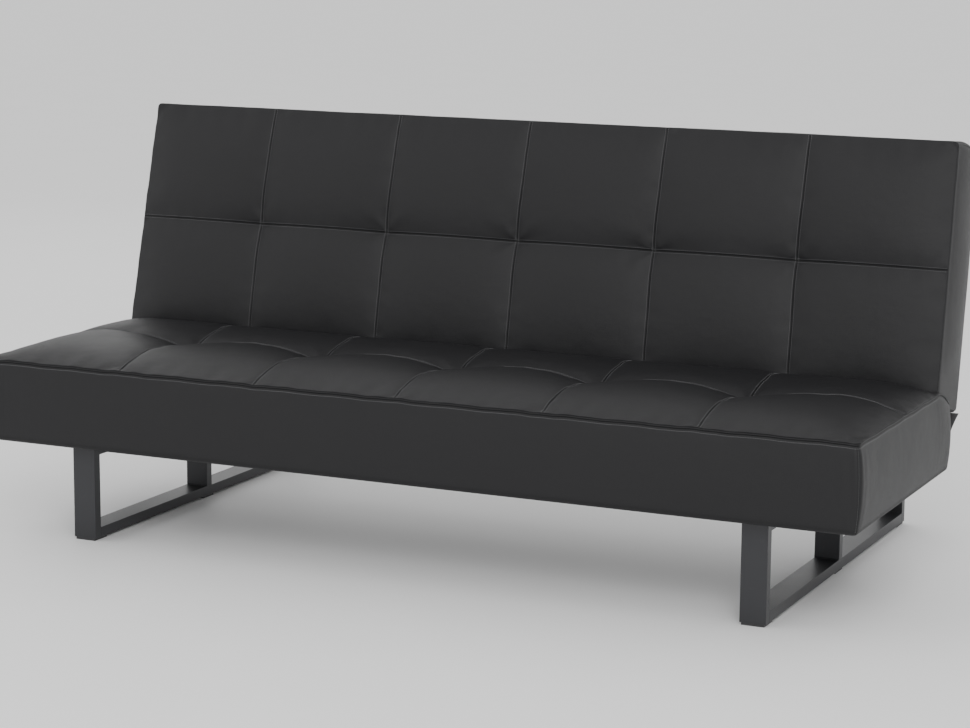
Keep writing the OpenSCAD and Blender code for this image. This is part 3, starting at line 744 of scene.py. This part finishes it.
    def blown_up(self, pressure, cap, frames=20):
        """Swells the panels between their seams with cloth, and keeps the seams where they are."""
        piece = self.piece
        mesh = piece.data
        rest = points_of(mesh)
        held = np.zeros(len(rest))
        for level in self.levels:
            held[level] = 1.0
        seam_x = [i for i, x in enumerate(self.xs) if min(abs(x - q) for q in self.seams) < 1e-6]
        seam_y = [j for j, y in enumerate(self.ys) if abs(y - self.row) < 1e-6]
        end = self.seam_end()
        for j, y in enumerate(self.ys):
            if y > end - 1e-6:
                held[self.top_index[:, j]] = 1.0
        held[self.top_index[seam_x, :].ravel()] = 1.0
        held[self.top_index[:, seam_y].ravel()] = 1.0
        group = piece.vertex_groups.new(name="held")
        for v in np.nonzero(held)[0]:
            group.add([int(v)], float(held[v]), "REPLACE")
        cloth = piece.modifiers.new("cloth", "CLOTH")
        c = cloth.settings
        c.quality = 6
        c.mass = 0.35
        c.tension_stiffness = 14
        c.compression_stiffness = 14
        c.shear_stiffness = 6
        c.bending_stiffness = 1.2
        c.vertex_group_mass = "held"
        c.pin_stiffness = 1
        c.shrink_min = -0.005
        c.use_pressure = True
        c.uniform_pressure_force = pressure
        c.effector_weights.gravity = 0
        cloth.collision_settings.use_collision = False
        cloth.point_cache.frame_start = 1
        cloth.point_cache.frame_end = frames
        scene = bpy.context.scene
        for step in range(1, frames + 1):
            scene.frame_set(step)
        graph = bpy.context.evaluated_depsgraph_get()
        done = piece.evaluated_get(graph).data
        moved = points_of(done)
        scene.frame_set(1)
        piece.modifiers.clear()
        piece.vertex_groups.clear()
        shift = moved - rest
        length = np.linalg.norm(shift, axis=1)
        keep = np.minimum(1.0, cap / np.maximum(length, 1e-9))
        move_points(mesh, rest + shift * keep[:, None])

    def sewn(self):
        """Presses the seams, topstitch lines and edge bands into the swollen cover, with painted shade in
        its grooves and creases and painted highlight, with some wear, on its ridges and top edge.
        """
        mesh = self.piece.data
        points, out = points_of(mesh), normals_of(mesh)
        fold = np.zeros(len(points))
        rub = np.zeros(len(points))
        push = np.zeros(len(points))
        end = self.seam_end()
        profile_at = SEAM_STEPS[4:]
        profile = (-0.0014, -0.0006, 0.0002, -0.0001, 0.0)
        # shade: painted shade in each seam groove.
        shade = (1.0, 0.25, 0.0, 0.0, 0.0)
        # worn: painted highlight, with some wear, on the ridges beside each seam.
        worn = (0.0, 0.3, 0.8, 0.2, 0.0)
        for i, x in enumerate(self.xs):
            for j, y in enumerate(self.ys):
                if y > end:
                    continue
                v = self.top_index[i, j]
                across = min(abs(x - q) for q in self.seams)
                gap = min(across, abs(y - self.row))
                if gap < SEAM_REACH:
                    push[v] = np.interp(gap, profile_at, profile)
                    fold[v] = np.interp(gap, profile_at, shade)
                    rub[v] = np.interp(gap, profile_at, worn)
                far = math.hypot(across, y - self.row)
                turn = math.atan2(y - self.row, across)
                crease = math.cos(9 * turn + 5 * x) * math.exp(-far / 0.040) * min(1.0, far / 0.008)
                push[v] += 0.0009 * crease * (gap > 0.004)
                push[v] += 0.0011 * noise.noise(Vector((x * 7, y * 7, 3.1))) * min(1.0, gap / 0.03)
        # Painted shade in the groove under the top edge and along the bottom hem.
        for number, amount in ((1, 0.9), (2, 0.9), (3, 0.25), (-4, 0.5)):
            fold[self.levels[number]] = amount
        corners = [self.points_at_corner(k) for k in range(len(self.ring))]
        for number, level in enumerate(self.levels[6:-4]):
            for k, v in enumerate(level):
                ruck = math.exp(-corners[k] / 0.045) * math.sin(corners[k] * 260 + number * 0.25)
                push[v] += 0.0010 * ruck
                push[v] += 0.0010 * noise.noise(Vector(points[v]) * 8)
        # Painted highlight, with some wear, along the top edge and the edge stitch band.
        rub[self.levels[0]] = 0.8
        rub[self.levels[4]] = 0.7
        # The corners are pushed in, with painted shade down their creases.
        for k, (i, j) in enumerate(self.ring):
            if i in (0, len(self.xs) - 1) and j in (0, len(self.ys) - 1):
                for level in self.levels[4:-2]:
                    push[level[k]] = -0.0016
                    fold[level[k]] = 0.8
        move_points(mesh, points + out * push[:, None])
        for name, values in (("fold", fold), ("rub", rub)):
            made = mesh.attributes.new(name, "FLOAT", "POINT")
            made.data.foreach_set("value", values.astype(np.float32))

    def points_at_corner(self, k):
        """How far a place on the rim is from the nearest corner of the pad."""
        x, y = self.xs[self.ring[k][0]], self.ys[self.ring[k][1]]
        return max(min(x - self.low[0], self.high[0] - x), min(y - self.low[1], self.high[1] - y))

    def smoothed(self):
        """One subdivision of the cover, then its bottom closed."""
        divide = self.piece.modifiers.new("smooth", "SUBSURF")
        divide.levels = 1
        divide.render_levels = 1
        settle(self.piece)
        self.points = points_of(self.piece.data)
        b = bmesh.new()
        b.from_mesh(self.piece.data)
        open_edges = [e for e in b.edges if e.is_boundary]
        made = bmesh.ops.contextual_create(b, geom=open_edges)
        for face in made["faces"]:
            face.normal_update()
            if face.normal.z > 0:
                face.normal_flip()
        b.to_mesh(self.piece.data)
        b.free()

    def line(self, low, high, i=None, j=None):
        """Places on the finished cover along one of its grid lines."""
        index = self.top_index[i, low:high] if i is not None else self.top_index[low:high, j]
        return self.points[index]

    def stitch_lines(self):
        """Topstitching on both sides of each seam, as lines on the cover."""
        lines = []
        end = self.seam_end()
        last = max(j for j, y in enumerate(self.ys) if y <= end) - 1
        for way in (-1, 1):
            for q in self.seams:
                i = int(np.argmin(abs(self.xs - (q + way * STITCH_OFFSET))))
                lines.append(self.line(i=i, low=2, high=last))
            j = int(np.argmin(abs(self.ys - (self.row + way * STITCH_OFFSET))))
            lines.append(self.line(j=j, low=2, high=len(self.xs) - 2))
        return [line + np.array((0, 0, 0.0002)) for line in lines]

    def rim_order(self, end):
        """The rim's places from the left rear, round the front, to the right rear."""
        order = [k for k in range(len(self.ring)) if self.ys[self.ring[k][1]] < end]
        left = [k for k in order if self.ring[k][0] == 0 and self.ring[k][1] > 0]
        return left + [k for k in order if k not in left]

    def band_lines(self):
        """Stitches just under the top edge, round the front and the two sides."""
        order = self.rim_order(self.seam_end() - 0.004)
        if "shelf" not in self.shape:
            away = [k for k in order if self.ys[self.ring[k][1]] > self.low[1] + 0.05]
            left = [k for k in away if self.ring[k][0] == 0]
            return [self.rim_points(left), self.rim_points([k for k in away if k not in left])]
        return [self.rim_points(order)]

    def rim_points(self, order):
        return np.array([self.points[self.levels[4][k]] for k in order])

    def welt_path(self):
        """The welt cord's line, in the groove round the top edge."""
        path = []
        for k in self.rim_order(self.high[1] - 0.010):
            groove = (self.points[self.levels[1][k]] + self.points[self.levels[2][k]]) / 2
            path.append(groove + self.outs[k] * 0.0012)
        return np.array(path)

    def corner_lines(self):
        """Stitches down the upright seams at the corners of the boxing."""
        lines = []
        for k, (i, j) in enumerate(self.ring):
            if i in (0, len(self.xs) - 1) and j in (0, len(self.ys) - 1):
                if "shelf" in self.shape and j > 0:
                    continue
                lines.append(np.array([self.points[level[k]] for level in self.levels[5:-3]]))
        return lines


def seat_shelf(x, y, z):
    """The seat's top steps down behind its rear seam, where the raised back sits between two ears."""
    if y <= NOTCH_Y - 0.006:
        return z
    if abs(x) > HALF - 0.0006:
        return z - 0.040 * ((y - NOTCH_Y + 0.006) / (REAR - NOTCH_Y + 0.006)) ** 2
    if y <= NOTCH_Y:
        t = (y - NOTCH_Y + 0.006) / 0.006
        return z + (SHELF_Z - z) * t * t
    fall = max(0.0, y - (REAR - 0.012))
    return SHELF_Z - 0.010 * (fall / 0.012) ** 2


def seat_bulge(place, out):
    """How far the seat's boxing swells: most on its ends, least behind."""
    if out[1] > 0.5:
        return 0.0
    rear = np.clip((place[1] - REAR + 0.09) / 0.09, 0, 1)
    return 0.0040 + 0.0035 * abs(out[0]) * (1 - rear * rear)


def back_bulge(place, out):
    """How far the back's boxing swells: nothing near the hinges, where it turns inside the ears."""
    away = np.clip((place[1] - BACK_START - 0.04) / 0.10, 0, 1)
    return 0.0070 * away * away * (3 - 2 * away)


SHELF_RUN = REAR - NOTCH_Y

SEAT_SHAPE = {
    "cells_x": 20, "cells_y": 18, "corner": 0.010, "side_cells": 12, "side_bulge": seat_bulge,
    "crown": 0.012, "seam_rise": 0.013, "row_rise": 0.9, "dip": 0.021,
    "loft": 0.012, "loft_run": 0.17, "loft_end": 0.5, "lean": 0.010, "bow": 0.0, "narrow": 0.0,
    "shelf": seat_shelf, "top_end": NOTCH_Y - 0.006,
    "rear_steps": (0.0, 0.003, 0.007, 0.013, 0.024, 0.040, 0.056, SHELF_RUN - 0.010,
                   SHELF_RUN - 0.004, SHELF_RUN - 0.001, SHELF_RUN, SHELF_RUN + 0.001,
                   SHELF_RUN + 0.0025, SHELF_RUN + 0.0045, SHELF_RUN + 0.006,
                   SHELF_RUN + 0.009, SHELF_RUN + 0.014),
}
BACK_SHAPE = {
    "cells_x": 20, "cells_y": 18, "corner": 0.009, "side_cells": 12, "side_bulge": back_bulge,
    "crown": 0.007, "seam_rise": 0.004, "row_rise": 0.9, "dip": 0.013,
    "loft": 0.003, "loft_run": 0.15, "loft_end": 0.0, "lean": 0.0, "bow": -0.007, "narrow": 0.008,
}

SEAT_SIDE = HALF + 0.0045
BACK_SIDE = HALF - 0.0030
EDGE_LINE = SEAT_TOP - 0.001
SWELL_CAP = 0.026
STITCH_PITCH = 0.0046
STITCH_SIZE = (0.0034, 0.0009, 0.0009)

seat = Pad("seat_pad", (-SEAT_SIDE, FRONT), (SEAT_SIDE, REAR), SEAT_BASE, EDGE_LINE, SEAM_XS,
           SEAT_ROW, SEAT_SHAPE)
back = Pad("back_pad", (-BACK_SIDE, BACK_START), (BACK_SIDE, BACK_START + BACK_LENGTH),
           SEAT_TOP - BACK_THICK, EDGE_LINE, SEAM_XS, BACK_ROW, BACK_SHAPE)

for pad, body, pressure, nodes in ((seat, "seat", 4.0, ("seat_cover", "seat_edge_foam")),
                                   (back, "back", 2.8, ("back_cover", "back_edge_foam"))):
    pad.blown_up(pressure, SWELL_CAP)
    pad.sewn()
    pad.smoothed()
    stitches = repeated(pad.name + "_stitches", pad.stitch_lines() + pad.corner_lines(), PILL_ROW,
                        STITCH_PITCH, STITCH_SIZE, THREAD)
    edge_stitches = repeated(pad.name + "_edge_stitches", pad.band_lines(), PILL_ROW, STITCH_PITCH,
                             STITCH_SIZE, THREAD)
    welt = tube(pad.name + "_welt", pad.welt_path(), 0.0016, LEATHER, sides=8)
    if body == "back":
        for piece in (pad.piece, stitches, edge_stitches, welt):
            move_points(piece.data, folded(points_of(piece.data)))
    for piece in (pad.piece, stitches, edge_stitches, welt):
        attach(piece, body)
    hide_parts(*nodes)


# ---- foam blocks inside the pads --------------------------------------------------------------


def foam_block(pad, node, body):
    """The foam under a cover: the same crowned shape, a little smaller and flat underneath."""
    inset = 0.004
    under = pad.base + 0.090
    nx, ny = len(pad.xs), len(pad.ys)
    points, faces = [], []
    pick_x, pick_y = range(2, nx - 2, 2), range(2, ny - 2, 2)
    index = {}
    for i in pick_x:
        for j in pick_y:
            p = pad.points[pad.top_index[i, j]]
            index[i, j] = len(points)
            z = max(p[2] - inset, under + 0.012)
            points.append((p[0] * (1 - inset / HALF), p[1], z))
    xs, ys = list(pick_x), list(pick_y)
    for a, b in zip(xs, xs[1:]):
        for c, d in zip(ys, ys[1:]):
            faces.append((index[a, c], index[b, c], index[b, d], index[a, d]))
    rim = [index[i, ys[0]] for i in xs] + [index[xs[-1], j] for j in ys[1:]]
    rim += [index[i, ys[-1]] for i in reversed(xs[:-1])] + [index[xs[0], j] for j in reversed(ys[1:-1])]
    lower = []
    for v in rim:
        lower.append(len(points))
        points.append((points[v][0], points[v][1], under))
    for k in range(len(rim)):
        m = (k + 1) % len(rim)
        faces.append((rim[k], lower[k], lower[m], rim[m]))
    faces.append(tuple(reversed(lower)))
    piece = new_piece(node + "_block", points, faces, FOAM, smooth=False)
    if body == "back":
        move_points(piece.data, folded(points_of(piece.data)))
    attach(piece, body)
    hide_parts(node)


foam_block(seat, "seat_foam", "seat")
foam_block(back, "back_foam", "back")


def tuft_ties(pad, node, body):
    """Cords that hold the seam crossings down, each on a washer under the felt."""
    washer, twist = 0.0105, 0.0009
    pieces = []
    j = int(np.argmin(abs(pad.ys - pad.row)))
    for q in pad.seams:
        i = int(np.argmin(abs(pad.xs - q)))
        top = pad.points[pad.top_index[i, j]] - np.array((0, 0, 0.0035))
        foot = np.array((top[0], top[1], pad.base + 0.079))
        path = [foot + (top - foot) * t + twist * np.array((math.sin(30 * t), math.cos(30 * t), 0))
                for t in np.linspace(0, 1, 24)]
        pieces.append(tube("cord", path, 0.0011, CORD, 6, wave=0.15))
        ring = [foot + washer * np.array((math.cos(a), math.sin(a), 0))
                for a in np.linspace(0, 2 * math.pi, 24, endpoint=False)]
        pieces.append(tube("washer", ring, 0.0014, CORD, 6, closed=True))
        bar = [foot + np.array((x, 0, 0)) for x in np.linspace(-washer, washer, 8)]
        pieces.append(tube("bar", bar, 0.0012, CORD, 6))
    made = joined(node + "_cords", pieces)
    if body == "back":
        move_points(made.data, folded(points_of(made.data)))
    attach(made, body)
    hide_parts(node)


tuft_ties(seat, "seat_tuft_ties", "seat")
tuft_ties(back, "back_tuft_ties", "back")


# ---- cloth that crosses the hinges ----------------------------------------------------------------


def rest_place(bed_point, start, end):
    """Where a point of the crossing cloth is with the back up, if it is here in the bed position."""
    way = end - start

    def turned(w):
        a = FOLD_ANGLE * w
        dy, dz = bed_point[0] - PIVOT[1], bed_point[1] - PIVOT[2]
        return np.array((PIVOT[1] + dy * math.cos(a) - dz * math.sin(a),
                         PIVOT[2] + dy * math.sin(a) + dz * math.cos(a)))

    def share(w):
        t = np.clip((turned(w) - start) @ way / (way @ way), 0, 1)
        return t * t * (3 - 2 * t)

    low, high = 0.0, 1.0
    for _ in range(40):
        mid = (low + high) / 2
        if share(mid) > mid:
            low = mid
        else:
            high = mid
    return turned((low + high) / 2)


def crossing_cloth(name, node, line, half, flare, thick, finish, ripple):
    """A strip of cloth from the seat to the back, along one line across the hinge."""
    columns = 181
    points, faces = [], []
    for i in range(columns):
        across = -1 + 2 * i / (columns - 1)
        for k, p in enumerate(line):
            t = k / (len(line) - 1)
            x = across * (half + flare * t)
            wave = ripple * math.sin(math.pi * t) * (math.sin(x * 41) + 0.6 * math.sin(x * 97 + 1.3))
            points.append((x, p[0] + wave * 0.4, p[1] + wave))
    n = len(line)
    for i in range(columns - 1):
        for k in range(n - 1):
            faces.append((i * n + k, (i + 1) * n + k, (i + 1) * n + k + 1, i * n + k + 1))
    piece = new_piece(name, points, faces, finish)
    wall = piece.modifiers.new("wall", "SOLIDIFY")
    wall.thickness = thick
    wall.offset = 0
    settle(piece)
    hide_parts(node)
    run = sum(np.linalg.norm(b - a) for a, b in zip(line, line[1:]))
    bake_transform(piece)


def between(a, b, count, sag):
    """Places on a sagging line from one point to another, looking along the hinge."""
    a, b = np.array(a), np.array(b)
    return [a + (b - a) * t - np.array((0, sag * math.sin(math.pi * t))) for t in np.linspace(0, 1, count)]


crease_start, crease_end = np.array((NOTCH_Y, SEAT_TOP)), np.array((NOTCH_Y + 0.018, SEAT_TOP))
crease_bed = between((NOTCH_Y + 0.0005, SEAT_TOP - 0.012), (REAR + 0.004, SEAT_TOP - 0.014), 22, 0.001)
crease = [rest_place(p, crease_start, crease_end) for p in crease_bed]
crossing_cloth("crease_gusset", "seat_rear_roll", crease, HALF - 0.012, 0.0,
               0.0012, LEATHER, 0.0004)
flap_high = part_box("hinge_flap")[1]
flap_start = np.array((REAR + 0.0012, float(PIVOT[2]) - 0.042))
flap_end = np.array((float(flap_high[1]) + 0.003, float(flap_high[2])))
flap = between(flap_start, flap_end, 26, -0.004)
crossing_cloth("hinge_flap_cloth", "hinge_flap", flap, HALF - 0.001, 0.002,
               0.0010, LINING, 0.0008)

# ---- legs -------------------------------------------------------------------------------------------

for side in ("left", "right"):
    for part in ("uprights", "rails"):
        node = side + "_leg_" + part
        piece = softened(node, node + "_tubes", POWDER, 0.0014, 3)
        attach(piece, "seat")
    low, high = (np.array(p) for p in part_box(side + "_leg_rails"))
    mid = (low[1] + high[1]) / 2
    tall = 0.020
    beads = []
    for y in (low[1], mid - tall / 2, mid + tall / 2, high[1]):
        for z in (low[2] + tall, high[2] - tall):
            beads.append([(x, y, z) for x in np.linspace(low[0] + 0.002, high[0] - 0.002, 24)])
    welds = repeated(side + "_leg_welds", beads, PILL_ROW, 0.0016, (0.0026, 0.0046, 0.0046), WELD)
    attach(welds, "seat")

for node, name, finish, width, slot in (
    ("leg_glides", "leg_glide_feet", GLIDE, 0.0012, "glide"),
    ("bed_rest_pads", "bed_rest_cushions", RUBBER, 0.0012, "rubber_pad"),
):
    piece = softened(node, name, finish, width, 2)
    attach(piece, "seat")

# ---- linings ----------------------------------------------------------------------------------------


def flat_sheet(name, node, body, low, high, z, finish=LINING, slot="lining", thick=0.0005,
               stapled=True):
    """Thin cloth stapled over a frame, not quite flat between its staples."""
    xs = np.linspace(low[0], high[0], 151)
    ys = np.linspace(low[1], high[1], 45)
    points, faces = [], []
    for x in xs:
        for y in ys:
            u, v = (x - low[0]) / (high[0] - low[0]), (y - low[1]) / (high[1] - low[1])
            edge = min(1.0, min(u * 16, (1 - u) * 16)) * min(1.0, min(v * 6, (1 - v) * 6))
            wave = 0.00008 * (math.sin(x * 33 + y * 12) + math.sin(x * 71 - y * 27)) * edge
            points.append((x, y, z + wave))
    n = len(ys)
    for i in range(len(xs) - 1):
        for k in range(n - 1):
            faces.append((i * n + k, i * n + k + 1, (i + 1) * n + k + 1, (i + 1) * n + k))
    piece = new_piece(name, points, faces, finish)
    wall = piece.modifiers.new("wall", "SOLIDIFY")
    wall.thickness = thick
    wall.offset = 0
    settle(piece)
    hem = 0.009
    a, b, c, d = low[0] + hem, high[0] - hem, low[1] + hem, high[1] - hem
    out = z - 0.0003
    ring = [[(x, y, out) for x in np.linspace(a, b, 12)] for y in (c, d)]
    ring += [[(x, y, out) for y in np.linspace(c + 0.03, d - 0.03, 8)] for x in (a, b)]
    parts = [(piece, slot)]
    if stapled:
        staples = repeated(name + "_staples", ring, BLOCK_ROW, 0.048, (0.0100, 0.0012, 0.0009),
                           STAPLE, smooth=False)
        parts.append((staples, "zinc"))
    for made, its_slot in parts:
        if body == "back":
            move_points(made.data, folded(points_of(made.data)))
        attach(made, body)
    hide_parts(node)


flat_sheet("back_rear_lining", "back_rear_panel", "back",
             (-HALF + 0.018, BACK_START + 0.012), (HALF - 0.018, BACK_START + BACK_LENGTH - 0.012),
             back.base - 0.00065)
FELT_RISE = float(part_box("seat_spring_felt")[0][2]) - SEAT_BASE + 0.0012
flat_sheet("back_felt_sheet", "back_spring_felt", "back",
             (-HALF + 0.016, BACK_START + 0.004), (HALF - 0.016, BACK_START + BACK_LENGTH - 0.004),
             SEAT_TOP - BACK_THICK + FELT_RISE, FELT, "felt", 0.0018, False)
flat_sheet("seat_dust_lining", "seat_dust_cover", "seat",
             (-HALF + 0.014, FRONT + 0.014), (HALF - 0.014, REAR - 0.014),
             seat.base - 0.0007)

# ---- finishes of the frame parts that stay as they are ------------------------------------------------

BY_SLOT = {"timber": PINE, "spring_wire": SPRING, "clip": CLIP, "felt": FELT, "zinc": ZINC,
           "ratchet_steel": RATCHET, "lining": LINING, "cord": CORD, "foam": FOAM, "cover": LEATHER,
           "leg_paint": POWDER, "glide": GLIDE, "rubber_pad": RUBBER}
SLOT_OF = {row["node"]: row["material_slot"] for row in frame["record"]["subparts"]}
for node, part in frame["nodes"].items():
    part.data.materials.clear()
    part.data.materials.append(BY_SLOT[SLOT_OF[node]])

# ---- floor and light ------------------------------------------------------------------------------


def floor_and_light():
    """A pale floor, a bright even studio and three soft lamps."""
    floor = new_piece("floor", [(-30, -30, 0), (30, -30, 0), (30, 30, 0), (-30, 30, 0)], [(0, 1, 2, 3)],
                      floor_finish())
    world = bpy.data.worlds.new("studio")
    world.use_nodes = True
    sky = world.node_tree.nodes["Background"]
    sky.inputs["Color"].default_value = (1.0, 1.0, 1.0, 1)
    sky.inputs["Strength"].default_value = 1.08
    bpy.context.scene.world = world
    for name, place, aim, size, power in (
        ("key_front", (2.2, -4.6, 3.2), (0.3, 0, 0.5), 2.6, 120),
        ("fill_left", (-3.8, -2.6, 2.6), (0, 0, 0.4), 3.0, 25),
        ("rim_rear", (-2.5, 3.6, 3.0), (-0.6, 0, 0.4), 2.5, 20),
    ):
        data = bpy.data.lights.new(name, "AREA")
        data.energy = power
        data.size = size
        lamp = bpy.data.objects.new(name, data)
        lamp.location = place
        lamp.rotation_euler = (Vector(aim) - Vector(place)).to_track_quat("-Z", "Y").to_euler()
        bpy.context.scene.collection.objects.link(lamp)


floor_and_light()
